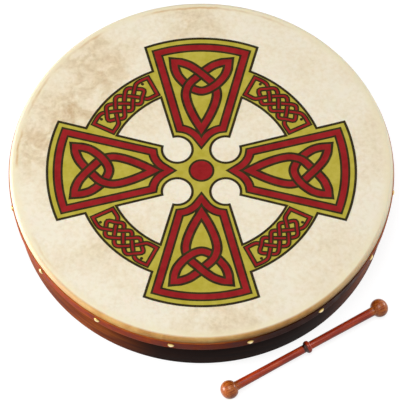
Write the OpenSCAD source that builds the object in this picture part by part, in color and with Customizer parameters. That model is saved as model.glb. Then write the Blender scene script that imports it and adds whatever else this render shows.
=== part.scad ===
// Bodhran: an Irish frame drum with a tacked goatskin head, and its turned tipper.
// Units are millimetres. +Z is up. The drum stands on its open rear edge with the head on top.
// The origin is the centre of the rear edge, on the surface that the drum rests on.

/* [Shell] */
// Outside diameter of the bent wooden shell
shell_d = 455; // [380:1:560]
// Depth of the shell, from its rear edge to the edge that carries the skin
shell_depth = 75; // [62:1:130]
// Thickness of the shell's wall
shell_wall = 9; // [8:0.5:14]
// Radius of the outer edge that the skin is drawn over
bearing_round = 4; // [1:0.1:4.5]
// Radius on the shell's other edges
edge_round = 2; // [0.5:0.1:3]

/* [Head] */
// Thickness of the goatskin
skin_t = 1; // [0.6:0.1:2]
// How far the trim band reaches below the skin's raw edge
skin_cover = 3; // [1:0.5:6]

/* [Trim] */
// Distance from the top of the head down to the trim band
band_drop = 7.5; // [6:0.5:22]
// Width of the trim band
band_w = 17; // [12:1:28]
// Thickness of the trim band
band_t = 1.4; // [0.8:0.1:2.5]
// Gap where the two ends of the band meet at the back
band_joint = 0.8; // [0.4:0.1:3]

/* [Tacks] */
// Number of tacks around the band
tack_count = 16; // [8:1:24]
// Angle of the whole row of tacks from its even place around the front
tack_turn = 2.6; // [0:0.1:20]
// Diameter of a tack's domed head
tack_head_d = 7.8; // [6:0.1:11]
// Height of a tack's domed head
tack_head_h = 1.9; // [1.2:0.1:3]
// Thickness of the brass in a tack's head
tack_metal_t = 0.5; // [0.3:0.1:0.8]
// Diameter of a tack's shank
tack_shank_d = 1.5; // [1:0.1:2]
// Length of a tack's shank below the rim of its head
tack_shank_l = 8; // [6:0.5:9]

/* [Cross brace] */
// Width of each bar of the brace
bar_w = 24; // [16:1:40]
// Thickness of each bar of the brace, front to back
bar_t = 14; // [12:1:18]
// Distance from the shell's rear edge up to the bars
bar_inset = 12; // [4:1:16]
// Radius along the edges of the bars
bar_round = 2.5; // [1:0.5:4]
// Diameter of the dowel at each end of a bar
dowel_d = 6; // [4:0.5:7]
// Length of each dowel
dowel_l = 26; // [16:1:34]
// How far each dowel enters the shell's wall
dowel_in_wall = 6; // [4:0.5:7]
// Diameter of the head of the screw through the lap joint
screw_head_d = 8; // [6:0.5:9]
// Diameter of the shank of that screw
screw_shank_d = 3.8; // [3:0.1:4.5]
// Length of that screw
screw_l = 11; // [9:0.5:11]

/* [Tipper] */
// Overall length of the tipper
tipper_l = 224; // [160:1:280]
// Diameter of the ball at each end
ball_d = 22; // [18:0.5:30]
// How much shorter each ball is along the tipper than across it
ball_flat = 2; // [0.5:0.5:6]
// Diameter of the stick at its middle
stick_mid_d = 9.6; // [6:0.1:10.8]
// Diameter of the stick where it meets the balls
stick_end_d = 11; // [9:0.1:13]
// Diameter of the ring turned at the middle
ring_d = 15; // [13:0.1:20]
// Length of that ring along the tipper
ring_l = 7; // [5:0.1:12]
// Distance of the ring from the tipper's own middle
ring_shift = 3; // [-15:0.5:15]
// Angle around the drum at which the tipper lies, from the front
tipper_turn = 29.6; // [0:0.1:360]
// Clear gap between the tipper's ring and the tacks
tipper_gap = 4.9; // [1:0.1:60]

/* [Hidden] */
$fn = 180;
ROUND_FN = 48;     // facets on small round pieces
SEAT = 0.05;       // clearance between pieces that are glued, tacked or driven home
CUT = 1;           // how far a cutter runs past the face it opens
TACK_POINT = 3;    // length of a tack's point
SCREW_SLOT_W = 1.2;
SCREW_SLOT_DEPTH = 1;
SCREW_LAND = 0.6;  // straight rim below the screw head's face
STICK_STEPS = 24;  // turned steps along half of the stick

shell_r = shell_d / 2;
shell_in_r = shell_r - shell_wall;
skin_in_r = shell_r + SEAT;
skin_r = skin_in_r + skin_t;
head_z = shell_depth + SEAT + skin_t;
band_in_r = skin_r + SEAT;
band_r = band_in_r + band_t;
band_top_z = head_z - band_drop;
skin_lap = band_drop + band_w - skin_cover;
tack_z = band_top_z - band_w / 2;
tack_seat_r = band_r + SEAT;
tack_out_r = tack_seat_r + tack_head_h;
bar_top_z = bar_inset + bar_t;
bar_mid_z = bar_inset + bar_t / 2;
bar_end_r = shell_in_r - SEAT;
ball_r = ball_d / 2;
ball_half = (ball_d - ball_flat) / 2;
stick_half = tipper_l / 2 - ball_half;
tipper_axis_r = tack_out_r + tipper_gap + ring_d / 2;

// The waste that a round-over of radius r takes off the corner at the origin.
module corner_waste(r) {
    difference() {
        translate([-CUT, -CUT]) square(r + CUT);
        translate([r, r]) circle(r = r, $fn = ROUND_FN);
    }
}

// A w by h rectangle with its lower left corner at the origin and four rounded corners.
module rounded_section(w, h, top_right, others) {
    difference() {
        square([w, h]);
        corner_waste(others);
        translate([w, 0]) mirror([1, 0]) corner_waste(others);
        translate([0, h]) mirror([0, 1]) corner_waste(others);
        translate([w, h]) rotate(180) corner_waste(top_right);
    }
}

// Half of a lid's section, from the axis out to radius r, with its top at height 0.
module lid_section(r, depth, round_r) {
    difference() {
        translate([0, -depth]) square([r, depth]);
        translate([r, 0]) rotate(180) corner_waste(round_r);
    }
}

// Places one child for each tack, with its own +Z pointing out of the drum.
module at_tacks(radius) {
    for (i = [0 : tack_count - 1])
        rotate([0, 0, -90 + tack_turn + (i + 0.5) * 360 / tack_count])
            translate([radius, 0, tack_z])
                rotate([0, 90, 0])
                    children();
}

// The holes that the tacks' shanks fill, cut back to the depth of their points.
module tack_holes() {
    at_tacks(tack_seat_r - tack_shank_l - SEAT)
        cylinder(h = tack_shank_l + CUT, d = tack_shank_d + 2 * SEAT, $fn = ROUND_FN);
}

// Places one child at each end of the two bars, with its own +Z pointing out of the drum.
module at_bar_ends(angles, radius) {
    for (a = angles)
        rotate([0, 0, a])
            translate([radius, 0, bar_mid_z])
                rotate([0, 90, 0])
                    children();
}

module dowel_holes(angles) {
    at_bar_ends(angles, shell_in_r + dowel_in_wall - dowel_l - SEAT)
        cylinder(h = dowel_l + 2 * SEAT, d = dowel_d + 2 * SEAT, $fn = ROUND_FN);
}

// The hoop, bent from one strip of wood, with blind holes for the brace's dowels.
module shell_hoop() {
    color("#4A1A0C")
        difference() {
            rotate_extrude()
                translate([shell_in_r, 0])
                    rounded_section(shell_wall, shell_depth, bearing_round, edge_round);
            tack_holes();
            dowel_holes([0, 90, 180, 270]);
        }
}

// The goatskin: a flat head and the collar that turns down over the bearing edge.
module goatskin_head() {
    color("#F0E6CC")
        difference() {
            translate([0, 0, head_z])
                rotate_extrude()
                    difference() {
                        lid_section(skin_r, skin_lap, bearing_round + skin_t);
                        translate([0, -skin_t])
                            lid_section(skin_in_r, skin_lap, bearing_round);
                    }
            tack_holes();
        }
}

// The strip that covers the skin's raw edge; its ends meet at the back.
module trim_band() {
    color("#7A3418")
        difference() {
            translate([0, 0, band_top_z - band_w])
                rotate_extrude()
                    translate([band_in_r, 0])
                        square([band_t, band_w]);
            translate([-band_joint / 2, band_in_r - CUT, band_top_z - band_w - CUT])
                cube([band_joint, band_t + 2 * CUT, band_w + 2 * CUT]);
            tack_holes();
        }
}

// One tack, with the rim of its head at height 0 and its shank below it.
module tack() {
    dome_r = (pow(tack_head_d / 2, 2) + pow(tack_head_h, 2)) / (2 * tack_head_h);
    inner_r = dome_r - tack_metal_t;
    difference() {
        intersection() {
            translate([0, 0, tack_head_h - dome_r]) sphere(r = dome_r, $fn = ROUND_FN);
            cylinder(h = tack_head_h + CUT, d = tack_head_d + CUT, $fn = ROUND_FN);
        }
        translate([0, 0, tack_head_h - dome_r]) sphere(r = inner_r, $fn = ROUND_FN);
    }
    translate([0, 0, TACK_POINT - tack_shank_l])
        cylinder(
            h = tack_shank_l - TACK_POINT + tack_head_h - tack_metal_t / 2,
            d = tack_shank_d, $fn = ROUND_FN
        );
    translate([0, 0, -tack_shank_l])
        cylinder(h = TACK_POINT, r1 = 0, r2 = tack_shank_d / 2, $fn = ROUND_FN);
}

module trim_tacks() {
    color("#B8893A") at_tacks(tack_seat_r) tack();
}

// A whole bar along X, with its ends cut to the inside of the shell.
module bar_blank() {
    intersection() {
        translate([-shell_r, 0, bar_inset])
            rotate([90, 0, 90])
                linear_extrude(shell_d)
                    translate([-bar_w / 2, 0])
                        rounded_section(bar_w, bar_t, bar_round, bar_round);
        cylinder(h = bar_top_z + CUT, r = bar_end_r);
    }
}

// The hole for the screw, which is driven into the lap from behind.
module screw_hole() {
    translate([0, 0, bar_inset - CUT])
        cylinder(h = CUT + SCREW_LAND + SEAT, d = screw_head_d + 2 * SEAT, $fn = ROUND_FN);
    translate([0, 0, bar_inset + SCREW_LAND + SEAT])
        cylinder(
            h = (screw_head_d - screw_shank_d) / 2,
            d1 = screw_head_d + 2 * SEAT,
            d2 = screw_shank_d + 2 * SEAT,
            $fn = ROUND_FN
        );
    translate([0, 0, bar_inset])
        cylinder(h = screw_l + 2 * SEAT, d = screw_shank_d + 2 * SEAT, $fn = ROUND_FN);
}

// The bar along X: its front half is cut away at the lap.
module crossbar_lower() {
    color("#9A6A3C")
        difference() {
            bar_blank();
            translate([-bar_w / 2 - SEAT, -bar_w, bar_mid_z - SEAT / 2])
                cube([bar_w + 2 * SEAT, 2 * bar_w, bar_t]);
            screw_hole();
            dowel_holes([0, 180]);
        }
}

// The bar along Y: its rear half is cut away at the lap.
module crossbar_upper() {
    color("#9A6A3C")
        difference() {
            rotate([0, 0, 90]) bar_blank();
            translate([-bar_w, -bar_w / 2 - SEAT, bar_mid_z + SEAT / 2 - bar_t])
                cube([2 * bar_w, bar_w + 2 * SEAT, bar_t]);
            screw_hole();
            dowel_holes([90, 270]);
        }
}

// Four glued dowels that carry the brace's ends in the shell.
module crossbar_dowels() {
    color("#C49A6C")
        at_bar_ends([0, 90, 180, 270], shell_in_r + dowel_in_wall - dowel_l)
            cylinder(h = dowel_l, d = dowel_d, $fn = ROUND_FN);
}

// A slotted countersunk wood screw, flush with the back of the brace.
module crossbar_screw() {
    cone_h = (screw_head_d - screw_shank_d) / 2;
    color("#B9B2A2")
        translate([0, 0, bar_inset + SEAT])
            difference() {
                union() {
                    cylinder(h = SCREW_LAND, d = screw_head_d, $fn = ROUND_FN);
                    translate([0, 0, SCREW_LAND])
                        cylinder(h = cone_h, d1 = screw_head_d, d2 = screw_shank_d, $fn = ROUND_FN);
                    cylinder(h = screw_l, d = screw_shank_d, $fn = ROUND_FN);
                }
                translate([-screw_head_d, -SCREW_SLOT_W / 2, -CUT])
                    cube([2 * screw_head_d, SCREW_SLOT_W, CUT + SCREW_SLOT_DEPTH]);
            }
}

// The stick's radius at distance x from the tipper's middle: it swells towards the balls.
function stick_r(x) =
    (stick_mid_d + (stick_end_d - stick_mid_d) * pow(x / stick_half, 2)) / 2;

// Half of the tipper's section, as turned: two balls, the stick and its ring.
module tipper_section() {
    stick = [
        for (i = [-STICK_STEPS : STICK_STEPS])
            let (x = i * stick_half / STICK_STEPS) [stick_r(x), x]
    ];
    polygon(concat([[0, -stick_half]], stick, [[0, stick_half]]));
    for (side = [-1, 1])
        translate([0, side * stick_half]) {
            intersection() {
                translate([ball_flat / 2, 0]) circle(r = ball_half, $fn = 2 * ROUND_FN);
                translate([0, -ball_half]) square([ball_r, 2 * ball_half]);
            }
            translate([0, -ball_half]) square([ball_flat / 2, 2 * ball_half]);
        }
    translate([0, ring_shift])
        intersection() {
            translate([(ring_d - ring_l) / 2, 0]) circle(d = ring_l, $fn = ROUND_FN);
            translate([0, -ring_l / 2]) square([ring_d / 2, ring_l]);
        }
}

// The tipper, turned from one piece of hardwood, lying on its two balls beside the drum.
module tipper() {
    color("#A63C1E")
        rotate([0, 0, tipper_turn])
            translate([0, -tipper_axis_r, ball_r])
                rotate([0, 90, 0])
                    rotate_extrude($fn = 2 * ROUND_FN) tipper_section();
}

shell_hoop();
goatskin_head();
trim_band();
trim_tacks();
crossbar_lower();
crossbar_upper();
crossbar_dowels();
crossbar_screw();
tipper();
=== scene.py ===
"""A bodhran, an Irish frame drum, lying head up with its turned tipper beside it.

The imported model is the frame: it gives the places and the overall sizes. The skin, its printed
ring cross, the trim, the tacks, the shell and the tipper are modelled here; the brace keeps its
CAD shape. Sizes are written in millimetres and turned to metres by MM; the print stays in
millimetres until on_skin places it.
"""
import math

import bmesh
import bpy
from mathutils import Matrix, Vector, noise


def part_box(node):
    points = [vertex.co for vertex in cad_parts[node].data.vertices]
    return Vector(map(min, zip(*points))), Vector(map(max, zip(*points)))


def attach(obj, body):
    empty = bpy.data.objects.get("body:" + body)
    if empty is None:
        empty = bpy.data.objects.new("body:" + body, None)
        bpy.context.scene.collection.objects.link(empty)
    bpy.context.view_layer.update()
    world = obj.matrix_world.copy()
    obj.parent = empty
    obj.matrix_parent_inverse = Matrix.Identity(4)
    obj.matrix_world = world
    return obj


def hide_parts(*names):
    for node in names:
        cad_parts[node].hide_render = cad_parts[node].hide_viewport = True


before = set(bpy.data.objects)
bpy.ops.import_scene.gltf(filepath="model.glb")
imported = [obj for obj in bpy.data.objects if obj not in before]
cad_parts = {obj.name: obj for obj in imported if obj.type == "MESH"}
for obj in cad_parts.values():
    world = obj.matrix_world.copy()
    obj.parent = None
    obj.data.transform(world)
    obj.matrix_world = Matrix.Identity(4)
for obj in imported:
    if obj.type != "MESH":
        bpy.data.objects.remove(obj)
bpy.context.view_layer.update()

MM = 0.001
SMOOTH_ANGLE = math.radians(35)   # edges that turn more than this stay sharp

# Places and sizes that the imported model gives.
SKIN_LOW, SKIN_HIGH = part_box("goatskin_head")
SHELL_LOW, SHELL_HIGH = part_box("shell_hoop")
BAND_LOW, BAND_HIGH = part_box("trim_band")
TIPPER_LOW, TIPPER_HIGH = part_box("tipper")
HEAD_R = SKIN_HIGH.x
HEAD_Z = SKIN_HIGH.z
SHELL_R = SHELL_HIGH.x
BAND_R = BAND_HIGH.x
TACK_Z = (BAND_LOW.z + BAND_HIGH.z) / 2

# Thicknesses and small shapes of the drum. BEARING_ROUND is the round that the skin shows.
HOOP_SIDES = 288
SKIN_T = 1.0 * MM
BEARING_ROUND = 5.0 * MM
SHELL_WALL = 9.0 * MM
SHELL_EDGE = 2.0 * MM
BAND_SIDES = 640
BAND_ROWS = 10
BAND_T = 1.4 * MM
BAND_EDGE = 0.45 * MM
TACK_COUNT = 16
TACK_TURN = 2.6    # degrees that the row is turned from its even place round the front
TACK_D = 7.8 * MM
TACK_H = 1.9 * MM
TACK_METAL = 0.5 * MM
TACK_SHANK_R = 0.75 * MM
TACK_SHANK = 5.0 * MM
TACK_POINT = 3.0 * MM
SEAT = 0.05 * MM   # clearance under a tack's rim

# The tipper, measured along its own length from its middle.
TIPPER_TURN = 29.6  # degrees from +X
BALL_R = TIPPER_HIGH.z / 2
BALL_FLAT = 1.0 * MM
TIPPER_HALF = 112.0 * MM
STICK_MID_R = 4.8 * MM
STICK_END_R = 5.5 * MM
RING_R = 7.5 * MM
RING_HALF = 3.5 * MM
RING_SHIFT = 3.0 * MM

# The printed ring cross, in millimetres from its own centre. One arm, the upper one, points along
# +Y. The print is a little larger towards that arm, and a little wider than it is high.
PRINT_SHIFT = -13.2            # from the head's centre, along Y
PRINT_TAPER = 0.036
PRINT_STRETCH = 1.018
CROSS_R = 179.8                # radius of the arms' ends
ARM_END_HALF = 66.0            # half the width of an arm at its end
ARM_ROOT = (32.6, 45.9)        # where the upper arm's right side begins
ARMPIT = 28.2                  # x and y of the centre of the round between two arms
ARMPIT_R = 17.9
RING_IN = 109.7
RING_OUT = 146.2
LINE_W = 3.0
BORDER_W = 11.8                # a border's dark stroke, and its red core
BORDER_RED_W = 6.8
BORDER_LOW = (25.2, 56.6)      # the border's lower and upper right corners in the upper arm
BORDER_HIGH = (51.9, 159.3)
BORDER_TIP_Y = 38.0            # its point towards the hub
BORDER_ARMPIT_R = 28.7         # its round beside the armpit
HUB_R = 15.2
HUB_LINE_W = 2.6
KNOT_W = 12.7
KNOT_RED_W = 6.9
PLAIT_R = 128.0                # the plait's middle radius
PLAIT_ROW = 7.6                # one step of its grid outwards
PLAIT_STEP = 3.35              # one step of its grid round the ring, in degrees
PLAIT_END = 0.5                # how far it runs past the grid, in steps
PLAIT_W = 6.4
PLAIT_RED_W = 2.5
DOT_R = 1.9
# A film of ink's thickness, the height of each layer's top above the skin, how far a red core
# stands above its own line, and how far a strand rises or dips where it crosses another.
FILM = 0.08
LAYER_GROUND = 0.06
LAYER_LINE = 0.11
LAYER_RED = 0.15
RED_RISE = 0.04
WEAVE = 0.07
# Corners sharper than CORNER_LIMIT are cleared, and a mitre is cut short below MITRE_LIMIT, the
# cosine of half its turn.
CORNER_LIMIT = math.radians(125)
MITRE_LIMIT = 0.42

# The camera: the point it looks at, its distance in metres, its rise over the horizon in degrees
# and its lens in millimetres.
CAMERA_AIM = Vector((-1.7 * MM, -52.4 * MM, HEAD_Z))
CAMERA_DISTANCE = 1.6
CAMERA_RISE = 63.1
CAMERA_LENS = 122.8
LAMP_AIM = Vector((0, 0, 0.04))


# ---------------------------------------------------------------- modelling by hand

def only(obj):
    """Leaves obj alone selected and active."""
    if bpy.context.mode != "OBJECT":
        bpy.ops.object.mode_set(mode="OBJECT")
    bpy.ops.object.select_all(action="DESELECT")
    obj.select_set(True)
    bpy.context.view_layer.objects.active = obj
    return obj


def begin(name, primitive, **sizes):
    """Adds a primitive by its operator, with nothing else selected, and names it."""
    if bpy.context.mode != "OBJECT":
        bpy.ops.object.mode_set(mode="OBJECT")
    bpy.ops.object.select_all(action="DESELECT")
    getattr(bpy.ops.mesh, "primitive_" + primitive + "_add")(**sizes)
    obj = bpy.context.active_object
    obj.name = name
    obj.data.name = name
    return obj


def pick(obj, kind, test):
    """Goes into edit mode and selects the faces, edges or verts whose centre passes test."""
    only(obj)
    bpy.ops.object.mode_set(mode="EDIT")
    bpy.ops.mesh.select_all(action="DESELECT")
    bpy.ops.mesh.select_mode(type={"faces": "FACE", "edges": "EDGE", "verts": "VERT"}[kind])
    shape = bmesh.from_edit_mesh(obj.data)
    place = obj.matrix_world
    for part in getattr(shape, kind):
        if kind == "verts":
            corners = [part.co]
        else:
            corners = [v.co for v in part.verts]
        part.select_set(all(test(place @ co) for co in corners))
    shape.select_flush_mode()
    bmesh.update_edit_mesh(obj.data)


def cut(obj, place, normal, clear_inner=False):
    """Cuts a whole mesh along a plane, and on request throws away what lies behind it."""
    only(obj)
    bpy.ops.object.mode_set(mode="EDIT")
    bpy.ops.mesh.select_mode(type="VERT")
    bpy.ops.mesh.select_all(action="SELECT")
    bpy.ops.mesh.bisect(plane_co=place, plane_no=normal, clear_inner=clear_inner)


def done(obj):
    """Leaves edit mode and puts the object's place into its mesh."""
    only(obj)
    bpy.ops.object.transform_apply(location=True, rotation=True, scale=True)
    return obj


def modify(obj, kind, **settings):
    """Adds a modifier and applies it."""
    only(obj)
    made = obj.modifiers.new(kind.lower(), kind)
    for key, value in settings.items():
        setattr(made, key, value)
    bpy.ops.object.modifier_apply(modifier=made.name)
    return obj


def move_points(obj, rule):
    """Moves each point of a mesh to rule(point), as a hand does when it shapes a surface."""
    for point in obj.data.vertices:
        point.co = rule(point.co.copy())
    obj.data.update()


def join(name, pieces):
    """Joins pieces into one object."""
    only(pieces[0])
    for piece in pieces[1:]:
        piece.select_set(True)
    bpy.ops.object.join()
    pieces[0].name = name
    return pieces[0]


def place_piece(obj, body, material):
    """Smooths a finished piece, gives it its material and lets it ride on its body."""
    only(obj)
    bpy.ops.object.shade_smooth_by_angle(angle=SMOOTH_ANGLE)
    obj.data.materials.clear()
    obj.data.materials.append(material)
    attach(obj, body)
    return obj


def radius_of(co):
    """A point's distance from the drum's axis."""
    return math.hypot(co.x, co.y)


def step(low, high, value):
    """A smooth step from 0 at low to 1 at high."""
    t = min(1.0, max(0.0, (value - low) / (high - low)))
    return t * t * (3 - 2 * t)


# ---------------------------------------------------------------- materials

def colour(hex_value):
    """Turns an sRGB hex colour to linear light."""
    parts = [int(hex_value[i:i + 2], 16) / 255 for i in (1, 3, 5)]
    linear = [c / 12.92 if c <= 0.04045 else ((c + 0.055) / 1.055) ** 2.4 for c in parts]
    return (*linear, 1.0)


def add(tree, kind, values=None, stops=None, **settings):
    """Adds one node: its settings, its values or links by input, and a ramp's stops."""
    made = tree.nodes.new("ShaderNode" + kind)
    for key, setting in settings.items():
        setattr(made, key, setting)
    for key, value in (values or {}).items():
        if isinstance(value, bpy.types.NodeSocket):
            tree.links.new(value, made.inputs[key])
        else:
            made.inputs[key].default_value = value
    if stops:
        ramp = made.color_ramp
        while len(ramp.elements) < len(stops):
            ramp.elements.new(1.0)
        for element, (place, shade) in zip(ramp.elements, stops):
            element.position = place
            element.color = colour(shade)
    return made


def surface(name, **constants):
    """Starts a material with one Principled shader and the given constant values."""
    material = bpy.data.materials.new(name)
    material.use_nodes = True
    tree = material.node_tree
    tree.nodes.clear()
    shader = add(tree, "BsdfPrincipled", {k.replace("_", " "): v for k, v in constants.items()})
    add(tree, "OutputMaterial", {"Surface": shader.outputs["BSDF"]})
    return material, tree, shader


def flat_place(tree, split):
    """The place without its height, and its distance from the drum's axis."""
    flat = add(tree, "CombineXYZ", {0: split[0], 1: split[1]}).outputs[0]
    return flat, add(tree, "VectorMath", {0: flat}, operation="LENGTH").outputs["Value"]


# Soft stained patches, where the hide was thicker: their place and radius in mm, and strength.
HIDE_PATCHES = (
    (-135, 125, 110, 0.4), (-195, 25, 80, 0.42), (-20, 205, 70, 0.3), (-150, 60, 60, 0.2),
    (-110, -90, 70, 0.18), (30, -200, 100, 0.26), (150, -130, 70, 0.14), (-60, 60, 70, 0.1),
    (70, 40, 50, 0.1), (205, -20, 50, 0.1), (60, 150, 60, 0.1), (-60, -60, 50, 0.1)
)


def hide_stain(tree, flat):
    """How stained the hide is at a place: the sum of its soft patches."""
    stain = None
    for x, y, size, strength in HIDE_PATCHES:
        away = add(tree, "VectorMath", {0: flat, 1: (x * MM, y * MM, 0)}, operation="DISTANCE")
        spot = add(tree, "MapRange", {
            "Value": away.outputs["Value"], "From Min": 0.0, "From Max": size * MM,
            "To Min": strength, "To Max": 0.0
        }, interpolation_type="SMOOTHSTEP").outputs[0]
        if stain is not None:
            spot = add(tree, "Math", {0: stain, 1: spot}, operation="ADD").outputs[0]
        stain = spot
    return stain


def rim_crease(tree, split, from_axis, mottle, clouds):
    """How much the tan crease shows: a thin wavering ring 9 mm inside the rim, broken up by the
    clouds, and only at the back and the left."""
    wobble = add(tree, "MapRange", {"Value": mottle, "To Min": -3 * MM, "To Max": 3 * MM}).outputs[0]
    away = add(tree, "Math", {0: from_axis, 1: HEAD_R - 9 * MM}, operation="SUBTRACT").outputs[0]
    away = add(tree, "Math", {0: away, 1: wobble}, operation="ADD").outputs[0]
    away = add(tree, "Math", {0: away}, operation="ABSOLUTE").outputs[0]
    crease = add(tree, "MapRange", {
        "Value": away, "From Min": 0.4 * MM, "From Max": 2.2 * MM, "To Min": 0.85, "To Max": 0.0
    }).outputs[0]
    broken = add(tree, "MapRange", {"Value": clouds, "From Min": 0.42, "From Max": 0.6}).outputs[0]
    aside = add(tree, "Math", {0: split[0], 1: split[1]}, operation="SUBTRACT").outputs[0]
    back_left = add(tree, "MapRange", {
        "Value": aside, "From Min": 0.0, "From Max": -0.8 * HEAD_R
    }).outputs[0]
    crease = add(tree, "Math", {0: crease, 1: broken}, operation="MULTIPLY").outputs[0]
    return add(tree, "Math", {0: crease, 1: back_left}, operation="MULTIPLY").outputs[0]


def goatskin():
    """Scraped and dried goatskin (rawhide): cream, mottled tan in soft patches, yellower where it
    was stretched wet over the edge, with a pore grain and a satin surface. A little light goes
    through it."""
    material, tree, shader = surface(
        "goatskin_rawhide", IOR=1.52, Subsurface_Weight=0.35, Subsurface_Scale=2.5 * MM,
        Subsurface_Radius=(1.0, 0.6, 0.35)
    )
    link = tree.links.new
    where = add(tree, "TexCoord").outputs["Object"]
    split = add(tree, "SeparateXYZ", {0: where}).outputs
    flat, from_axis = flat_place(tree, split)

    # Cloudy mottling at three sizes: 60 mm clouds, 24 mm patches and 5 mm freckles.
    clouds = add(tree, "TexNoise", {
        "Vector": where, "Scale": 1 / (60 * MM), "Detail": 3.0, "Roughness": 0.55
    }).outputs[0]
    mottle = add(tree, "TexNoise", {
        "Vector": where, "Scale": 1 / (24 * MM), "Detail": 6.0, "Roughness": 0.58, "Distortion": 0.9
    }).outputs[0]
    freckle = add(tree, "TexNoise", {
        "Vector": where, "Scale": 1 / (5 * MM), "Detail": 4.0, "Roughness": 0.6
    }).outputs[0]
    mottled = add(tree, "MapRange", {
        "Value": mottle, "From Min": 0.4, "From Max": 0.64, "To Min": 0.35, "To Max": 1.5
    }).outputs[0]
    stained = add(tree, "Math", {
        0: hide_stain(tree, flat), 1: mottled
    }, operation="MULTIPLY").outputs[0]
    cloudy = add(tree, "MapRange", {
        "Value": clouds, "From Min": 0.4, "From Max": 0.75, "To Min": 0.0, "To Max": 0.3
    }).outputs[0]
    freckled = add(tree, "MapRange", {
        "Value": freckle, "From Min": 0.35, "From Max": 0.7, "To Min": -0.1, "To Max": 0.16
    }).outputs[0]
    tone = add(tree, "Math", {0: stained, 1: cloudy}, operation="ADD").outputs[0]
    tone = add(tree, "Math", {0: tone, 1: freckled}, operation="ADD", use_clamp=True).outputs[0]
    hide = add(tree, "ValToRGB", {"Fac": tone}, stops=(
        (0.0, "#FBEBD4"), (0.22, "#F3E0C3"), (0.5, "#E3CDAA"), (0.78, "#D3B790"), (1.0, "#C2A078")
    )).outputs["Color"]
    # Stretched wet over the rim it dried yellow, with a thin tan crease just inside the round.
    edge = add(tree, "MapRange", {
        "Value": from_axis, "From Min": HEAD_R - 16 * MM, "From Max": HEAD_R - 4 * MM,
        "To Min": 0.0, "To Max": 0.85
    }, interpolation_type="SMOOTHSTEP").outputs[0]
    yellowed = add(tree, "Mix", {0: edge, 6: hide, 7: colour("#F6E5C2")}, data_type="RGBA")
    creased = add(tree, "Mix", {
        0: rim_crease(tree, split, from_axis, mottle, clouds),
        6: yellowed.outputs[2], 7: colour("#D6AE76")
    }, data_type="RGBA")
    # The round and the side below it are pale, and streaked golden brown towards the front.
    drop = add(tree, "MapRange", {
        "Value": from_axis, "From Min": HEAD_R - 5.4 * MM, "From Max": HEAD_R - 3.2 * MM
    }).outputs[0]
    streaks = add(tree, "ValToRGB", {"Fac": mottle}, stops=(
        (0.3, "#B47F3C"), (0.5, "#CC9850"), (0.7, "#DCB26A")
    )).outputs["Color"]
    forward = add(tree, "MapRange", {
        "Value": split[1], "From Min": -0.3 * HEAD_R, "From Max": -0.85 * HEAD_R,
        "To Min": 0.05, "To Max": 1.0
    }).outputs[0]
    side = add(tree, "Mix", {0: forward, 6: colour("#F1E3C6"), 7: streaks}, data_type="RGBA")
    skin = add(tree, "Mix", {
        0: drop, 6: creased.outputs[2], 7: side.outputs[2]
    }, data_type="RGBA")
    link(skin.outputs[2], shader.inputs["Base Color"])
    gloss = add(tree, "MapRange", {
        "Value": mottle, "From Min": 0.3, "From Max": 0.7, "To Min": 0.5, "To Max": 0.66
    })
    link(gloss.outputs[0], shader.inputs["Roughness"])
    # Pores, drawn coarser than real ones at about 1 mm so that they show, and the slow waves of
    # a dried hide.
    pores = add(tree, "TexNoise", {"Vector": where, "Scale": 1 / (1.1 * MM), "Detail": 3.0})
    bumps = add(tree, "Bump", {"Height": pores.outputs[0], "Strength": 0.18, "Distance": 0.1 * MM})
    waves = add(tree, "Bump", {
        "Height": mottle, "Strength": 0.3, "Distance": 0.5 * MM, "Normal": bumps.outputs[0]
    })
    link(waves.outputs[0], shader.inputs["Normal"])
    return material


def screen_ink(name, dark, light):
    """Matt screen ink on hide: nearly one colour, a little worn in 9 mm patches, over the hide's
    pores."""
    material, tree, shader = surface(name, IOR=1.48, Specular_IOR_Level=0.12)
    link = tree.links.new
    where = add(tree, "TexCoord").outputs["Object"]
    wear = add(tree, "TexNoise", {"Vector": where, "Scale": 1 / (9 * MM), "Detail": 6.0})
    shade = add(tree, "ValToRGB", {"Fac": wear.outputs[0]}, stops=((0.35, dark), (0.68, light)))
    link(shade.outputs["Color"], shader.inputs["Base Color"])
    pores = add(tree, "TexNoise", {"Vector": where, "Scale": 1 / (1.1 * MM), "Detail": 3.0})
    gloss = add(tree, "MapRange", {"Value": pores.outputs[0], "To Min": 0.6, "To Max": 0.85})
    link(gloss.outputs[0], shader.inputs["Roughness"])
    bumps = add(tree, "Bump", {"Height": pores.outputs[0], "Strength": 0.25, "Distance": 0.1 * MM})
    link(bumps.outputs[0], shader.inputs["Normal"])
    return material


def angle_round(tree, split):
    """The angle round the drum from its front, in radians, growing to the right."""
    back = add(tree, "Math", {0: split[1], 1: -1.0}, operation="MULTIPLY").outputs[0]
    return add(tree, "Math", {0: split[0], 1: back}, operation="ARCTAN2").outputs[0]


def painted_shade_arc(tree, angle, middle, full, none):
    """How much painted shade darkens an arc of the rim: most within full degrees of the middle,
    none beyond none.
    """
    away = add(tree, "Math", {0: angle, 1: math.radians(middle)}, operation="SUBTRACT").outputs[0]
    away = add(tree, "Math", {0: away}, operation="ABSOLUTE").outputs[0]
    return add(tree, "MapRange", {
        "Value": away, "From Min": math.radians(full), "From Max": math.radians(none),
        "To Min": 0.94, "To Max": 0.0
    }, interpolation_type="SMOOTHSTEP").outputs[0]


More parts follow.
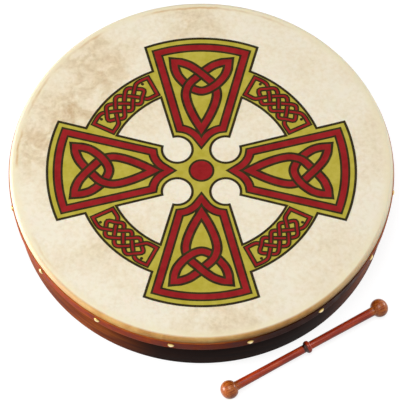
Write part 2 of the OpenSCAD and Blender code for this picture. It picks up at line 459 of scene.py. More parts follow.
def bent_wood():
    """Beech, steam bent, stained a dark red-brown and left unlacquered, so that it mirrors almost
    nothing: its grain runs round the drum in long thin streaks, and the strip's scarfed ends meet
    in a fine line at the back. Its front is darkened by painted shade."""
    material, tree, shader = surface("stained_bent_beech", IOR=1.5, Specular_IOR_Level=0.003)
    link = tree.links.new
    where = add(tree, "TexCoord").outputs["Object"]
    split = add(tree, "SeparateXYZ", {0: where}).outputs
    from_axis = flat_place(tree, split)[1]
    angle = angle_round(tree, split)
    around = add(tree, "Math", {0: angle, 1: SHELL_R}, operation="MULTIPLY").outputs[0]
    # Streaks 60 mm long and 1.6 mm wide, and bands of stain 70 mm long and 11 mm wide.
    strip = add(tree, "CombineXYZ", {0: around, 1: split[2], 2: from_axis}).outputs[0]
    long_grain = add(tree, "Mapping", {
        "Vector": strip, "Scale": (1 / (60 * MM), 1 / (1.6 * MM), 1 / (1.6 * MM))
    }).outputs[0]
    grain = add(tree, "TexNoise", {"Vector": long_grain, "Scale": 1.0, "Detail": 4.0}).outputs[0]
    wide = add(tree, "Mapping", {
        "Vector": strip, "Scale": (1 / (70 * MM), 1 / (11 * MM), 1 / (11 * MM))
    }).outputs[0]
    bands = add(tree, "TexNoise", {
        "Vector": wide, "Scale": 1.0, "Detail": 3.0, "Distortion": 0.4
    }).outputs[0]
    both = add(tree, "Mix", {0: 0.55, 2: grain, 3: bands}, data_type="FLOAT").outputs[0]
    stain = add(tree, "ValToRGB", {"Fac": both}, stops=(
        (0.32, "#541C08"), (0.5, "#843A12"), (0.62, "#A4541C"), (0.75, "#BA702E")
    )).outputs["Color"]
    # Painted shade: round the front, a little to its right, the colour is darkened nearly to black.
    painted_front_shade = painted_shade_arc(tree, angle, 12, 23, 48)
    seam = add(tree, "Math", {0: angle}, operation="ABSOLUTE").outputs[0]
    seam = add(tree, "Math", {
        0: seam, 1: math.pi - 0.35 * MM / SHELL_R
    }, operation="GREATER_THAN").outputs[0]
    stain_and_painted_shade = add(tree, "Mix", {0: painted_front_shade, 6: stain, 7: colour("#0A0302")}, data_type="RGBA")
    wood = add(tree, "Mix", {0: seam, 6: stain_and_painted_shade.outputs[2], 7: colour("#120604")}, data_type="RGBA")
    link(wood.outputs[2], shader.inputs["Base Color"])
    gloss = add(tree, "MapRange", {"Value": grain, "To Min": 0.3, "To Max": 0.48})
    link(gloss.outputs[0], shader.inputs["Roughness"])
    bump = add(tree, "Bump", {"Height": grain, "Strength": 0.25, "Distance": 0.15 * MM})
    link(bump.outputs[0], shader.inputs["Normal"])
    return material


def trim_leather():
    """Thin chrome-tanned leather strip, dyed red-brown: a 1.3 mm pebble grain, paler worn edges,
    and painted shade that darkens it at the front right."""
    material, tree, shader = surface("trim_leather", IOR=1.5, Specular_IOR_Level=0.03)
    link = tree.links.new
    where = add(tree, "TexCoord").outputs["Object"]
    split = add(tree, "SeparateXYZ", {0: where}).outputs
    pebble = add(tree, "TexVoronoi", {"Vector": where, "Scale": 1 / (1.3 * MM)})
    patches = add(tree, "TexNoise", {"Vector": where, "Scale": 1 / (14 * MM), "Detail": 5.0})
    dye = add(tree, "ValToRGB", {"Fac": patches.outputs[0]}, stops=(
        (0.3, "#7A220A"), (0.5, "#983410"), (0.72, "#B04C1C")
    )).outputs["Color"]
    away = add(tree, "Math", {0: split[2], 1: TACK_Z}, operation="SUBTRACT").outputs[0]
    away = add(tree, "Math", {0: away}, operation="ABSOLUTE").outputs[0]
    half = (BAND_HIGH.z - BAND_LOW.z) / 2
    worn = add(tree, "MapRange", {
        "Value": away, "From Min": half - 1.6 * MM, "From Max": half, "To Max": 0.45
    }).outputs[0]
    browned = add(tree, "Mix", {0: worn, 6: dye, 7: colour("#BC7438")}, data_type="RGBA")
    # Painted shade: round the front right the strip is darkened towards #240C06.
    leather = add(tree, "Mix", {
        0: painted_shade_arc(tree, angle_round(tree, split), 34, 12, 32),
        6: browned.outputs[2], 7: colour("#240C06")
    }, data_type="RGBA")
    link(leather.outputs[2], shader.inputs["Base Color"])
    gloss = add(tree, "MapRange", {
        "Value": patches.outputs[0], "From Min": 0.3, "From Max": 0.7, "To Min": 0.38, "To Max": 0.56
    })
    link(gloss.outputs[0], shader.inputs["Roughness"])
    bump = add(tree, "Bump", {
        "Height": pebble.outputs["Distance"], "Strength": 0.35, "Distance": 0.2 * MM
    })
    link(bump.outputs[0], shader.inputs["Normal"])
    return material


def aged_brass():
    """Stamped brass tack heads, rubbed bright on the dome and browned at the rim."""
    material, tree, shader = surface("aged_brass", Metallic=1.0)
    link = tree.links.new
    where = add(tree, "TexCoord").outputs["Object"]
    split = add(tree, "SeparateXYZ", {0: where}).outputs
    from_axis = flat_place(tree, split)[1]
    tarnish = add(tree, "TexNoise", {"Vector": where, "Scale": 1 / (1.5 * MM), "Detail": 4.0})
    rise = add(tree, "MapRange", {
        "Value": from_axis, "From Min": BAND_R, "From Max": BAND_R + TACK_H
    }).outputs[0]
    rubbed = add(tree, "Math", {0: rise, 1: tarnish.outputs[0]}, operation="MULTIPLY").outputs[0]
    metal = add(tree, "ValToRGB", {"Fac": rubbed}, stops=(
        (0.03, "#8A6A34"), (0.2, "#D6B468"), (0.45, "#F6E4B4")
    ))
    link(metal.outputs["Color"], shader.inputs["Base Color"])
    gloss = add(tree, "MapRange", {"Value": tarnish.outputs[0], "To Min": 0.22, "To Max": 0.45})
    link(gloss.outputs[0], shader.inputs["Roughness"])
    return material


def bar_wood(name, turn):
    """Ash, planed and oiled: pale brown with long darker growth lines along the bar."""
    material, tree, shader = surface(name, IOR=1.5, Specular_IOR_Level=0.35)
    link = tree.links.new
    where = add(tree, "TexCoord").outputs["Object"]
    along = add(tree, "Mapping", {
        "Vector": where, "Rotation": (0, 0, math.radians(turn)),
        "Scale": (1 / (90 * MM), 1 / (4 * MM), 1 / (4 * MM))
    }).outputs[0]
    growth = add(tree, "TexNoise", {
        "Vector": along, "Scale": 1.0, "Detail": 5.0, "Distortion": 0.8
    }).outputs[0]
    wood = add(tree, "ValToRGB", {"Fac": growth}, stops=(
        (0.3, "#6E4322"), (0.48, "#9C6A3A"), (0.62, "#B98650"), (0.8, "#CDA06A")
    ))
    link(wood.outputs["Color"], shader.inputs["Base Color"])
    gloss = add(tree, "MapRange", {"Value": growth, "To Min": 0.42, "To Max": 0.62})
    link(gloss.outputs[0], shader.inputs["Roughness"])
    bump = add(tree, "Bump", {"Height": growth, "Strength": 0.3, "Distance": 0.2 * MM})
    link(bump.outputs[0], shader.inputs["Normal"])
    return material


def turned_hardwood():
    """Rosewood-coloured hardwood, turned, stained and lacquered: red-brown with fine dark pores
    along the stick, and lighter, warmer end grain on the two balls."""
    material, tree, shader = surface(
        "turned_hardwood", IOR=1.5, Specular_IOR_Level=0.35, Coat_Weight=0.15, Coat_Roughness=0.2
    )
    link = tree.links.new
    where = add(tree, "TexCoord").outputs["Object"]
    middle = (TIPPER_LOW + TIPPER_HIGH) / 2
    centred = add(tree, "VectorMath", {0: where, 1: middle}, operation="SUBTRACT").outputs[0]
    own = add(tree, "Mapping", {
        "Vector": centred, "Rotation": (0, 0, math.radians(-TIPPER_TURN))
    }).outputs[0]
    along = add(tree, "SeparateXYZ", {0: own}).outputs[0]
    grain_at = add(tree, "Mapping", {
        "Vector": own, "Scale": (1 / (28 * MM), 1 / (1.3 * MM), 1 / (1.3 * MM))
    }).outputs[0]
    grain = add(tree, "TexNoise", {"Vector": grain_at, "Scale": 1.0, "Detail": 4.0}).outputs[0]
    stick = add(tree, "ValToRGB", {"Fac": grain}, stops=(
        (0.3, "#721606"), (0.48, "#A02C0E"), (0.62, "#BC4416"), (0.8, "#D06020")
    )).outputs["Color"]
    ball = add(tree, "ValToRGB", {"Fac": grain}, stops=(
        (0.3, "#80300C"), (0.48, "#AC5418"), (0.62, "#C4702C"), (0.8, "#D88C44")
    )).outputs["Color"]
    out = add(tree, "Math", {0: along}, operation="ABSOLUTE").outputs[0]
    at_ball = add(tree, "MapRange", {
        "Value": out, "From Min": TIPPER_HALF - 2.3 * BALL_R, "From Max": TIPPER_HALF - 1.7 * BALL_R
    }).outputs[0]
    turned = add(tree, "Mix", {0: at_ball, 6: stick, 7: ball}, data_type="RGBA")
    # Painted shadow: a dark band on the stick beside one side of the ring, where the ring shades it.
    ring_shadow_at = RING_SHIFT - RING_HALF - 0.6 * MM
    painted_ring_shadow = add(tree, "Math", {0: along, 1: ring_shadow_at}, operation="SUBTRACT").outputs[0]
    painted_ring_shadow = add(tree, "Math", {0: painted_ring_shadow}, operation="ABSOLUTE").outputs[0]
    painted_ring_shadow = add(tree, "MapRange", {
        "Value": painted_ring_shadow, "From Min": 1.8 * MM, "From Max": 2.6 * MM, "To Min": 0.92, "To Max": 0.0
    }).outputs[0]
    wood = add(tree, "Mix", {0: painted_ring_shadow, 6: turned.outputs[2], 7: colour("#1A0703")}, data_type="RGBA")
    link(wood.outputs[2], shader.inputs["Base Color"])
    gloss = add(tree, "MapRange", {"Value": grain, "To Min": 0.28, "To Max": 0.44})
    link(gloss.outputs[0], shader.inputs["Roughness"])
    bump = add(tree, "Bump", {"Height": grain, "Strength": 0.15, "Distance": 0.1 * MM})
    link(bump.outputs[0], shader.inputs["Normal"])
    return material


def plated_steel():
    """Zinc-plated steel screw: dull silver with a faint yellow passivated film."""
    material, tree, shader = surface("zinc_plated_steel", Metallic=1.0)
    link = tree.links.new
    where = add(tree, "TexCoord").outputs["Object"]
    film = add(tree, "TexNoise", {"Vector": where, "Scale": 1 / (2 * MM), "Detail": 3.0})
    metal = add(tree, "ValToRGB", {"Fac": film.outputs[0]}, stops=(
        (0.35, "#A89F86"), (0.65, "#C9C6BC")
    ))
    link(metal.outputs["Color"], shader.inputs["Base Color"])
    gloss = add(tree, "MapRange", {"Value": film.outputs[0], "To Min": 0.25, "To Max": 0.45})
    link(gloss.outputs[0], shader.inputs["Roughness"])
    return material


def seen_or_mirrored(tree):
    """1 for rays that come from the camera, off a mirror or through glass, and 0 for all others."""
    rays = add(tree, "LightPath").outputs
    seen = rays["Is Camera Ray"]
    for other in ("Is Glossy Ray", "Is Transmission Ray"):
        seen = add(tree, "Math", {0: seen, 1: rays[other]}, operation="MAXIMUM").outputs[0]
    return seen


def pale_floor():
    """A plain matt floor: white where it is seen or mirrored, with a trace of the shadow. Its glow
    leaves room for the shadow near the drum and grows to white further out, to hide the horizon."""
    material = bpy.data.materials.new("pale_floor")
    material.use_nodes = True
    tree = material.node_tree
    tree.nodes.clear()
    seen = seen_or_mirrored(tree)
    # All other rays meet a dark floor, which throws little light up at the object.
    tint = add(tree, "Mix", {
        0: seen, 6: (0.09, 0.085, 0.08, 1), 7: (0.3, 0.3, 0.3, 1)
    }, data_type="RGBA")
    where = add(tree, "TexCoord").outputs["Object"]
    out = add(tree, "VectorMath", {0: where}, operation="LENGTH").outputs["Value"]
    level = add(tree, "MapRange", {
        "Value": out, "From Min": 0.5, "From Max": 2.0, "To Min": 0.82, "To Max": 1.0
    }, interpolation_type="SMOOTHSTEP").outputs[0]
    glow = add(tree, "Math", {0: seen, 1: level}, operation="MULTIPLY").outputs[0]
    matt = add(tree, "BsdfDiffuse", {"Color": tint.outputs[2]}).outputs[0]
    white = add(tree, "Emission", {"Color": (1, 1, 1, 1), "Strength": glow}).outputs[0]
    both = add(tree, "AddShader", {0: matt, 1: white}).outputs[0]
    add(tree, "OutputMaterial", {"Surface": both})
    return material


# ---------------------------------------------------------------- the drum

def make_head():
    """The skin: a flat head with rings of points, a rounded edge and a collar down the side."""
    lap = HEAD_Z - SKIN_LOW.z
    inside_round = HEAD_R - 4 * MM
    head = begin(
        "goatskin_with_collar", "cylinder", vertices=HOOP_SIDES, radius=HEAD_R, depth=lap,
        location=(0, 0, HEAD_Z - lap / 2), end_fill_type="NGON"
    )
    pick(head, "faces", lambda co: co.z < HEAD_Z - lap + 1e-6)
    bpy.ops.mesh.delete(type="FACE")
    pick(head, "edges", lambda co: co.z > HEAD_Z - 1e-6)
    bpy.ops.mesh.bevel(offset=BEARING_ROUND, segments=8, affect="EDGES")
    pick(head, "faces", lambda co: co.z > HEAD_Z - 1e-6 and radius_of(co) < inside_round)
    for ring in (6, 8, 10, 12, 14, 18, 22, 26, 30, 30):
        bpy.ops.mesh.inset(thickness=ring * MM)
    bpy.ops.mesh.poke()
    done(head)
    for height in range(6, int(lap / MM), 3):
        cut(head, (0, 0, HEAD_Z - height * MM), (0, 0, 1))
    done(head)

    def shaped(co):
        """Gives the head its waves and the collar its puckers."""
        r = radius_of(co)
        angle = math.atan2(co.y, co.x)
        if co.z > HEAD_Z - 0.1 * MM and r < inside_round:
            # Very shallow waves where the drying skin pulls towards each tack.
            pull = math.cos(TACK_COUNT * (angle + math.pi / 2 - math.radians(TACK_TURN)))
            lift = step(160 * MM, 195 * MM, r) * (1 - step(198 * MM, 224 * MM, r))
            co.z -= (0.05 + 0.05 * pull) * MM * lift
        elif co.z < HEAD_Z - BEARING_ROUND - 0.1 * MM:
            # Small puckers just under the round, which fade out 12 mm below the head.
            pucker = noise.noise(Vector((angle * 26, co.z / (30 * MM), 0.3)))
            depth = step(HEAD_Z - BEARING_ROUND, HEAD_Z - 12 * MM, co.z)
            shrink = 1 - 0.25 * MM * abs(pucker) * (1 - depth) / r
            co.x *= shrink
            co.y *= shrink
        return co

    move_points(head, shaped)
    modify(head, "SOLIDIFY", thickness=SKIN_T, offset=-1, use_even_offset=True)
    return head


def make_shell():
    """The hoop: a tube given its wall, a large round on the bearing edge and small ones elsewhere."""
    depth = SHELL_HIGH.z - SHELL_LOW.z
    shell = begin(
        "bent_shell", "cylinder", vertices=HOOP_SIDES, radius=SHELL_R, depth=depth,
        location=(0, 0, SHELL_LOW.z + depth / 2), end_fill_type="NOTHING"
    )
    done(shell)
    modify(shell, "SOLIDIFY", thickness=SHELL_WALL, offset=-1)
    mid_r = SHELL_R - SHELL_WALL / 2
    pick(shell, "edges", lambda co: co.z > SHELL_HIGH.z - 1e-6 and radius_of(co) > mid_r)
    bpy.ops.mesh.bevel(offset=BEARING_ROUND - SKIN_T, segments=6, affect="EDGES")
    done(shell)
    pick(shell, "edges", lambda co: co.z > SHELL_HIGH.z - 1e-6 and radius_of(co) < mid_r - 3 * MM)
    bpy.ops.mesh.bevel(offset=SHELL_EDGE, segments=4, affect="EDGES")
    done(shell)
    pick(shell, "edges", lambda co: co.z < SHELL_LOW.z + 1e-6)
    bpy.ops.mesh.bevel(offset=SHELL_EDGE, segments=4, affect="EDGES")
    return done(shell)


def tack_angles():
    """The tacks' angles around the drum, in radians from +X."""
    return [
        math.radians(-90 + TACK_TURN + (i + 0.5) * 360 / TACK_COUNT) for i in range(TACK_COUNT)
    ]


def make_band():
    """The trim: a strip wrapped round the drum, drawn in a little under each tack. One face of
    the tube is taken out at the back, where the strip's two ends meet."""
    inner = BAND_R - BAND_T
    height = BAND_HIGH.z - BAND_LOW.z
    band = begin(
        "trim_strip", "cylinder", vertices=BAND_SIDES, radius=inner, depth=height,
        location=(0, 0, TACK_Z), end_fill_type="NOTHING", rotation=(0, 0, math.pi / BAND_SIDES)
    )
    done(band)
    half_face = math.pi / BAND_SIDES * inner
    pick(band, "faces", lambda co: co.y > 0 and abs(co.x) < 1.1 * half_face)
    bpy.ops.mesh.delete(type="FACE")
    done(band)
    for row in range(1, BAND_ROWS):
        cut(band, (0, 0, BAND_LOW.z + height * row / BAND_ROWS), (0, 0, 1))
    done(band)
    modify(band, "SOLIDIFY", thickness=BAND_T, offset=1)
    modify(band, "BEVEL", width=BAND_EDGE, segments=3, limit_method="ANGLE",
           angle_limit=math.radians(60))
    angles = tack_angles()

    def drawn_in(co):
        """Draws the strip's outer face in round each tack, and gives it a slight ripple."""
        r = radius_of(co)
        here = math.atan2(co.y, co.x)
        outer = step(inner + 0.5 * MM, BAND_R, r)
        pull = 0.0
        for angle in angles:
            turn = (here - angle + math.pi) % (2 * math.pi) - math.pi
            away = math.hypot(turn * r, co.z - TACK_Z)
            pull += math.exp(-(away / (5 * MM)) ** 2)
        ripple = 0.08 * noise.noise(Vector((here * 18, co.z / (14 * MM), 0.0)))
        shrink = 1 - outer * (0.3 * pull + ripple + 0.08) * MM / r
        co.x *= shrink
        co.y *= shrink
        return co

    move_points(band, drawn_in)
    return band


def make_tacks():
    """One stamped tack, a hollow dome with a pointed shank, copied round the drum."""
    dome_r = ((TACK_D / 2) ** 2 + TACK_H ** 2) / (2 * TACK_H)
    dome = begin(
        "tack_dome", "uv_sphere", segments=32, ring_count=48, radius=dome_r,
        location=(0, 0, TACK_H - dome_r)
    )
    done(dome)
    cut(dome, (0, 0, 0), (0, 0, 1), clear_inner=True)
    done(dome)
    modify(dome, "SOLIDIFY", thickness=TACK_METAL, offset=-1)
    modify(dome, "BEVEL", width=0.15 * MM, segments=2, limit_method="ANGLE",
           angle_limit=math.radians(50))
    in_dome = 1.0 * MM
    shank = begin(
        "tack_shank", "cylinder", vertices=16, radius=TACK_SHANK_R, depth=TACK_SHANK + in_dome,
        location=(0, 0, (in_dome - TACK_SHANK) / 2)
    )
    done(shank)
    pick(shank, "faces", lambda co: co.z < -TACK_SHANK + 1e-6)
    bpy.ops.mesh.extrude_region_move(TRANSFORM_OT_translate={"value": (0, 0, -TACK_POINT)})
    tip = (0, 0, -TACK_SHANK - TACK_POINT)
    bpy.ops.transform.resize(value=(0.1, 0.1, 1), center_override=tip)
    done(shank)
    pattern = join("tack_pattern", [dome, shank])
    copies = []
    for angle in tack_angles():
        only(pattern)
        bpy.ops.object.duplicate()
        tack = bpy.context.active_object
        out = Matrix.Rotation(angle, 4, "Z") @ Matrix.Translation((BAND_R + SEAT, 0, TACK_Z))
        tack.data.transform(out @ Matrix.Rotation(math.pi / 2, 4, "Y"))
        copies.append(tack)
    bpy.data.objects.remove(pattern)
    return join("domed_tacks", copies)


# ---------------------------------------------------------------- the printed ring cross

def arc(centre, radius, start, end, steps):
    """Points on an arc, from angle start to angle end in degrees."""
    points = []
    for i in range(steps + 1):
        a = math.radians(start + (end - start) * i / steps)
        points.append((centre[0] + radius * math.cos(a), centre[1] + radius * math.sin(a)))
    return points


def heading(point, centre=(0, 0)):
    """The angle of a point seen from centre, in degrees."""
    return math.degrees(math.atan2(point[1] - centre[1], point[0] - centre[0]))


def meet(start, way, centre, radius):
    """Where a line from start, running in the direction way, leaves a circle."""
    dx = start[0] - centre[0]
    dy = start[1] - centre[1]
    along = dx * way[0] + dy * way[1]
    reach = math.sqrt(along * along - (dx * dx + dy * dy - radius * radius))
    t = reach - along
    return (start[0] + way[0] * t, start[1] + way[1] * t)


def turned_by(points, quarter_turns):
    """The points turned about the cross's centre by quarter turns."""
    for _ in range(quarter_turns):
        points = [(-p[1], p[0], *p[2:]) for p in points]
    return points


def mirrored(points):
    """The points mirrored left to right, in reverse order."""
    return [(-p[0], *p[1:]) for p in reversed(points)]


def smooth(points, closed, steps=4):
    """A smooth curve through points, with steps points for each span; a height is smoothed too."""
    count = len(points)
    spans = count if closed else count - 1
    out = []
    for i in range(spans):
        knots = []
        for k in (i - 1, i, i + 1, i + 2):
            knots.append(points[k % count] if closed else points[min(max(k, 0), count - 1)])
        a, b, c, d = [Vector(k) for k in knots]
        for s in range(steps):
            t = s / steps
            out.append(tuple(
                0.5 * ((2 * b) + (c - a) * t + (2 * a - 5 * b + 4 * c - d) * t * t
                       + (3 * b - a - 3 * c + d) * t ** 3)
            ))
    if not closed:
        out.append(tuple(points[-1]))
    return out


def on_skin(x, y, layer):
    """The place in metres, at a layer's height over the skin, of a point of the print."""
    grow = 1 / (1 - PRINT_TAPER * y / CROSS_R)
    return Vector((x * grow * PRINT_STRETCH * MM, (y * grow + PRINT_SHIFT) * MM, HEAD_Z + layer * MM))


def clear_corners(path, width):
    """Leaves out the points next to a sharp corner, whose inner side would fold over itself."""
    count = len(path)
    places = [Vector(p[:2]) for p in path]
    dropped = set()
    for i in range(count):
        before = places[i - 1] - places[i]
        after = places[(i + 1) % count] - places[i]
        if before.length < 1e-9 or after.length < 1e-9:
            continue
        opening = before.angle(after)
        if opening > CORNER_LIMIT:
            continue
        reach = 1.05 * width / 2 / math.tan(opening / 2) + 0.2
        for k in range(1, 8):
            for other in ((i - k) % count, (i + k) % count):
                if (places[other] - places[i]).length < reach:
                    dropped.add(other)
    return [p for i, p in enumerate(path) if i not in dropped]


def mesh_piece(name, points, faces):
    """A film of ink: a flat mesh given its thickness."""
    data = bpy.data.meshes.new(name)
    data.from_pydata(points, [], faces)
    obj = bpy.data.objects.new(name, data)
    bpy.context.scene.collection.objects.link(obj)
    modify(obj, "SOLIDIFY", thickness=FILM * MM, offset=-1)
    return obj


def stroke(name, path, width, layer):
    """A line of ink of one width along a closed path, with mitred corners. A third number in a
    point is its height in the weave."""
    path = clear_corners(path, width)
    count = len(path)
    points = []
    for i, here in enumerate(path):
        before = path[i - 1]
        after = path[(i + 1) % count]
        ways = []
        for a, b in ((before, here), (here, after)):
            way = Vector((b[0] - a[0], b[1] - a[1]))
            if way.length > 1e-9:
                ways.append(way.normalized())
        side = Vector((0, 0))
        for way in ways:
            side += Vector((-way.y, way.x))
        side.normalize()
        cosine = side.dot(Vector((-ways[0].y, ways[0].x)))
        side *= width / 2 / max(cosine, MITRE_LIMIT)
        rise = layer + (here[2] * WEAVE if len(here) > 2 else 0)
        points.append(on_skin(here[0] + side.x, here[1] + side.y, rise))
        points.append(on_skin(here[0] - side.x, here[1] - side.y, rise))
    faces = []
    for i in range(count):
        a = 2 * i
        b = 2 * ((i + 1) % count)
        faces.append((a, a + 1, b + 1, b))
    return mesh_piece(name, points, faces)


def area(name, outlines, layer):
    """A filled shape of ink: a flat curve with holes, made a mesh."""
    flat = bpy.data.curves.new(name, "CURVE")
    flat.dimensions = "2D"
    flat.fill_mode = "BOTH"
    for outline in outlines:
        line = flat.splines.new("POLY")
        line.points.add(len(outline) - 1)
        for point, (x, y) in zip(line.points, outline):
            place = on_skin(x, y, 0)
            point.co = (place.x, place.y, 0, 1)
        line.use_cyclic_u = True
    obj = bpy.data.objects.new(name, flat)
    bpy.context.scene.collection.objects.link(obj)
    obj.location.z = HEAD_Z + layer * MM
    only(obj)
    bpy.ops.object.convert(target="MESH")
    obj = bpy.context.active_object
    done(obj)
    if obj.data.polygons[0].normal.z < 0:
        obj.data.flip_normals()
    modify(obj, "SOLIDIFY", thickness=FILM * MM, offset=-1)
    return obj


def arm_side():
    """The start and the direction of an arm's right side."""
    end = (ARM_END_HALF, math.sqrt(CROSS_R ** 2 - ARM_END_HALF ** 2))
    way = Vector((end[0] - ARM_ROOT[0], end[1] - ARM_ROOT[1])).normalized()
    return ARM_ROOT, (way.x, way.y), end


def cross_outline():
    """The outline of the whole cross and ring, once round."""
    root, way, end = arm_side()
    at_ring = meet(root, way, (0, 0), RING_OUT)
    quarter = [at_ring, end] + arc((0, 0), CROSS_R, heading(end), 180 - heading(end), 24)[1:]
    quarter += [(-at_ring[0], at_ring[1])]
    stop = heading(at_ring)
    quarter += arc((0, 0), RING_OUT, 180 - stop, 90 + stop, 24)[1:-1]
    outline = []
    for turn in range(4):
        outline += turned_by(quarter, turn)
    return outline


def hole_outline():
    """The opening between the upper and the right arm, inside the ring."""
    root, way, _ = arm_side()
    at_ring = meet(root, way, (0, 0), RING_IN)
    pit = (ARMPIT, ARMPIT)
    first = heading(root, pit)
    last = heading((root[1], root[0]), pit)
    round_pit = arc(pit, ARMPIT_R, first, last + 360, 36)
    outer = arc((0, 0), RING_IN, 90 - heading(at_ring), heading(at_ring), 24)
    return round_pit + outer


def border_path():
    """The middle of the red border inside one arm, once round."""
    pit = (ARMPIT, ARMPIT)
    half = arc(pit, BORDER_ARMPIT_R, 142, heading(BORDER_LOW, pit), 10)[:-1]
    top_r = math.hypot(*BORDER_HIGH)
    top = arc((0, 0), top_r, heading(BORDER_HIGH), 90, 16)
    right = [(0, BORDER_TIP_Y)] + half + [BORDER_LOW] + top
    return right + mirrored(right)[1:-1]


def knot_path():
    """The three-cornered knot in one arm, once round, with its height at each crossing."""
    bowl = [
        (-32, 147.5, 0), (-31.2, 139, 0), (-27.9, 129.3, -0.2), (-21.5, 120.5, -0.7),
        (-15.6, 114.8, -1), (-8, 109.8, -0.4), (0, 107.5, 0), (8, 109.8, 0.4), (15.6, 114.8, 1),
        (21.5, 120.5, 0.7), (27.9, 129.3, 0.2), (31.2, 139, 0), (32, 147.5, 0)
    ]
    lean = [
        (32, 147.5, 0), (26.5, 147.4, 0), (15.1, 143.4, -0.2), (7, 137.8, -0.7), (0, 131.8, -1),
        (-6, 126, -0.6), (-11.1, 121.2, 0.4), (-15.6, 114.8, 1), (-18.2, 104.6, 0.4),
        (-17, 94.4, 0), (-13, 82, 0), (-7.4, 69.5, 0), (0, 56, 0)
    ]
    rise = [(-x, y, -z) for x, y, z in reversed(lean)]
    path = []
    for part in (bowl, lean, rise):
        path += smooth(part, closed=False)[:-1]
    return path


def plait_point(x, y, z=0.0):
    """Turns a place in the plait's grid, 10 long and 4 wide, to its place in the ring."""
    a = math.radians(45 + PLAIT_STEP * (x - 5))
    row = y - 2
    r = PLAIT_R + PLAIT_ROW * (row - 0.04 * row ** 3)
    return (r * math.cos(a), r * math.sin(a), z)


def plait_paths():
    """Two closed strands of a plait. At every crossing one goes over, turn and turn about."""
    near, far = -PLAIT_END, 10 + PLAIT_END
    framing = [
        (near, 4), (near, 0), (1.2, 0), (5, 4), (8.8, 0), (far, 0), (far, 4), (8.8, 4), (5, 0),
        (1.2, 4)
    ]
    inner = [(1.1, 2), (3, 4), (7, 0), (8.9, 2), (7, 4), (3, 0)]
    paths = []
    for corners in (framing, inner):
        path = []
        for i, (x0, y0) in enumerate(corners):
            x1, y1 = corners[(i + 1) % len(corners)]
            steps = max(1, round(abs(y1 - y0))) if x0 != x1 else 1
            rising = (y1 - y0) * (x1 - x0) > 0
            for s in range(steps):
                x = x0 + (x1 - x0) * s / steps
                y = y0 + (y1 - y0) * s / steps
                crossing = s > 0
                over = rising if round(y) % 2 == 0 else not rising
                path.append((x, y, (1.0 if over else -1.0) if crossing else 0.0))
        paths.append(path)
    return paths


def plait_stroke_path(path):
    """The smoothed strand in the ring: round where it turns at the edges, square at the ends."""
    ends = (-PLAIT_END, 10 + PLAIT_END)
    square = [i for i, p in enumerate(path) if p[0] in ends]
    if not square:
        grid = smooth(path, closed=True)
    else:
        grid = []
        for k, start in enumerate(square):
            stop = square[(k + 1) % len(square)]
            if stop <= start:
                stop += len(path)
            part = [path[i % len(path)] for i in range(start, stop + 1)]
            grid += smooth(part, closed=False)[:-1]
    return [plait_point(*p) for p in grid]


def make_print(inks):
    """All the films of ink, joined by colour and riding on the drum."""
    films = {"yellow": [], "line": [], "red": []}
    outline = cross_outline()
    hole = hole_outline()
    holes = [turned_by(hole, t) for t in range(4)]
    knot_layer = LAYER_LINE + WEAVE
    films["yellow"].append(area("ink_ground", [outline] + holes, LAYER_GROUND))
    films["line"].append(stroke("line_outer", outline, LINE_W, LAYER_LINE))
    for t in range(4):
        films["line"].append(stroke("line_hole", holes[t], LINE_W, LAYER_LINE))
        border = turned_by(border_path(), t)
        films["line"].append(stroke("line_border", border, BORDER_W, LAYER_LINE))
        films["red"].append(stroke("red_border", border, BORDER_RED_W, LAYER_RED))
        knot = turned_by(knot_path(), t)
        films["line"].append(stroke("line_knot", knot, KNOT_W, knot_layer))
        films["red"].append(stroke("red_knot", knot, KNOT_RED_W, knot_layer + RED_RISE))
        for path in plait_paths():
            strand = turned_by(plait_stroke_path(path), t)
            films["line"].append(stroke("line_plait", strand, PLAIT_W, knot_layer))
            films["red"].append(stroke("red_plait", strand, PLAIT_RED_W, knot_layer + RED_RISE))
        for end in (0.7, 9.3):
            x, y, _ = plait_point(end, 3.1)
            dot = turned_by(arc((x, y), DOT_R, 0, 345, 23), t)
            films["line"].append(area("line_dot", [dot], LAYER_LINE))
    films["line"].append(area("line_hub", [arc((0, 0), HUB_R, 0, 356, 89)], LAYER_LINE))
    red_hub = arc((0, 0), HUB_R - HUB_LINE_W, 0, 356, 89)
    films["red"].append(area("red_hub", [red_hub], LAYER_RED))
    for key, pieces in films.items():
        printed = join("printed_" + key, pieces)
        place_piece(printed, "drum", inks[key])


# ---------------------------------------------------------------- the tipper

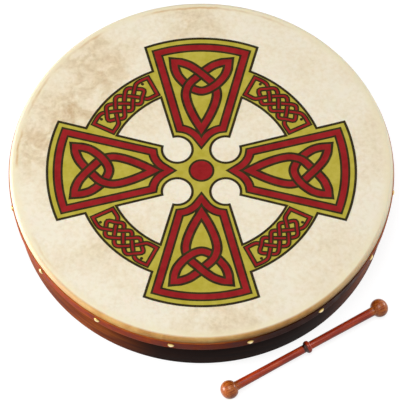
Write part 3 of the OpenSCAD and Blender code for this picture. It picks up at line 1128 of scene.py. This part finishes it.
def tipper_profile():
    """Half of the tipper's outline as (distance from its middle, radius), end to end."""
    half_ball = BALL_R - BALL_FLAT
    ball_at = TIPPER_HALF - half_ball
    profile = []
    for i in range(1, 15):
        # The outer face of the left ball and round to where the stick leaves it.
        a = math.radians(180 - i * 10.6)
        profile.append((-ball_at + half_ball * math.cos(a), BALL_FLAT + half_ball * math.sin(a)))
    profile = [p for p in profile if p[0] < -ball_at or p[1] > STICK_END_R + 0.9 * MM]
    edge = profile[-1][0]
    profile.append((edge + 1.0 * MM, STICK_END_R + 0.25 * MM))
    profile.append((edge + 2.0 * MM, STICK_END_R))
    start = edge + 3.5 * MM
    ring_left = RING_SHIFT - RING_HALF
    for i in range(13):
        x = start + (ring_left - 1.2 * MM - start) * i / 12
        profile.append((x, STICK_MID_R + (STICK_END_R - STICK_MID_R) * (x / ball_at) ** 2))
    # A small cove, then the rounded ring.
    profile.append((ring_left - 0.5 * MM, STICK_MID_R - 0.15 * MM))
    for i in range(9):
        a = math.radians(165 - i * 18.75)
        profile.append((
            RING_SHIFT + RING_HALF * math.cos(a),
            RING_R - RING_HALF * 0.9 + RING_HALF * 0.9 * math.sin(a)
        ))
    ring_right = RING_SHIFT + RING_HALF
    profile.append((ring_right + 0.5 * MM, STICK_MID_R - 0.15 * MM))
    for i in range(13):
        x = ring_right + 1.2 * MM + (-start - ring_right - 1.2 * MM) * i / 12
        profile.append((x, STICK_MID_R + (STICK_END_R - STICK_MID_R) * (x / ball_at) ** 2))
    profile.append((-edge - 2.0 * MM, STICK_END_R))
    profile.append((-edge - 1.0 * MM, STICK_END_R + 0.25 * MM))
    left_ball = [p for p in profile if p[0] <= edge]
    profile += [(-x, r) for x, r in reversed(left_ball)]
    return profile


def make_tipper():
    """The tipper, turned ring by ring from a disc: each ring is extruded along and resized."""
    profile = tipper_profile()
    first_x, first_r = profile[0]
    tipper = begin(
        "turned_tipper", "circle", vertices=48, radius=first_r, fill_type="NGON",
        location=(first_x, 0, 0), rotation=(0, math.pi / 2, 0)
    )
    done(tipper)
    only(tipper)
    bpy.ops.object.mode_set(mode="EDIT")
    bpy.ops.mesh.select_mode(type="FACE")
    bpy.ops.mesh.select_all(action="SELECT")
    at_x, at_r = first_x, first_r
    for x, r in profile[1:]:
        bpy.ops.mesh.extrude_region_move(TRANSFORM_OT_translate={"value": (x - at_x, 0, 0)})
        scale = r / at_r
        bpy.ops.transform.resize(value=(1, scale, scale), center_override=(x, 0, 0))
        at_x, at_r = x, r
    bpy.ops.mesh.select_all(action="SELECT")
    bpy.ops.mesh.normals_make_consistent(inside=False)
    done(tipper)
    middle = (TIPPER_LOW + TIPPER_HIGH) / 2
    turn = Matrix.Rotation(math.radians(TIPPER_TURN), 4, "Z")
    tipper.data.transform(Matrix.Translation(middle) @ turn)
    return tipper


# ---------------------------------------------------------------- scene

def make_camera():
    """The camera, raised over the drum's front."""
    data = bpy.data.cameras.new("camera")
    data.lens = CAMERA_LENS
    data.sensor_width = 36
    camera = bpy.data.objects.new("camera", data)
    bpy.context.scene.collection.objects.link(camera)
    rise = math.radians(CAMERA_RISE)
    back = Vector((0, -math.cos(rise), math.sin(rise)))
    camera.location = CAMERA_AIM + back * CAMERA_DISTANCE
    camera.rotation_euler = (-back).to_track_quat("-Z", "Y").to_euler()
    bpy.context.scene.camera = camera


def make_lamp(name, place, size, power):
    """A round white area lamp aimed at the drum, with its place and size in metres and its power
    in watts."""
    data = bpy.data.lights.new(name, "AREA")
    data.shape = "DISK"
    data.size = size
    data.energy = power
    data.color = (1, 1, 1)
    lamp = bpy.data.objects.new(name, data)
    bpy.context.scene.collection.objects.link(lamp)
    lamp.location = place
    lamp.rotation_euler = (LAMP_AIM - lamp.location).to_track_quat("-Z", "Y").to_euler()


def make_stage():
    """The floor, the world and the lamps."""
    floor = begin("floor", "plane", size=60, location=(0, 0, -0.05 * MM))
    done(floor)
    floor.data.materials.append(pale_floor())
    world = bpy.data.worlds.new("studio")
    bpy.context.scene.world = world
    world.use_nodes = True
    tree = world.node_tree
    tree.nodes.clear()
    seen = seen_or_mirrored(tree)
    level = add(tree, "MapRange", {"Value": seen, "To Min": 0.2, "To Max": 1.0})
    light = add(tree, "Background", {"Color": (1, 1, 1, 1), "Strength": level.outputs[0]})
    add(tree, "OutputWorld", {"Surface": light.outputs[0]})
    make_lamp("lamp_above", (-0.1, -0.35, 2.5), 1.4, 31)
    make_lamp("lamp_left", (-2.0, -0.25, 0.4), 0.8, 50)
    make_lamp("lamp_right", (1.8, 0.9, 0.5), 0.8, 16)


make_camera()
make_stage()

head = make_head()
place_piece(head, "drum", goatskin())
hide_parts("goatskin_head")
shell = make_shell()
place_piece(shell, "drum", bent_wood())
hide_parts("shell_hoop")
band = make_band()
place_piece(band, "drum", trim_leather())
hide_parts("trim_band")
tacks = make_tacks()
place_piece(tacks, "drum", aged_brass())
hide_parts("trim_tacks")
tipper = make_tipper()
place_piece(tipper, "tipper", turned_hardwood())
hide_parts("tipper")
make_print({
    "yellow": screen_ink("screen_ink_olive", "#B4A636", "#C2B44A"),
    "line": screen_ink("screen_ink_umber", "#261F0C", "#383014"),
    "red": screen_ink("screen_ink_red", "#8C1719", "#9D1F22"),
})

for node, material in (
    ("crossbar_lower", bar_wood("oiled_ash_crosswise", 0)),
    ("crossbar_upper", bar_wood("oiled_ash_lengthwise", 90)),
    ("crossbar_dowels", bar_wood("oiled_ash_dowels", 45)),
    ("crossbar_screw", plated_steel()),
):
    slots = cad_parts[node].data.materials
    slots.clear()
    slots.append(material)

bpy.context.scene.view_settings.view_transform = "Standard"
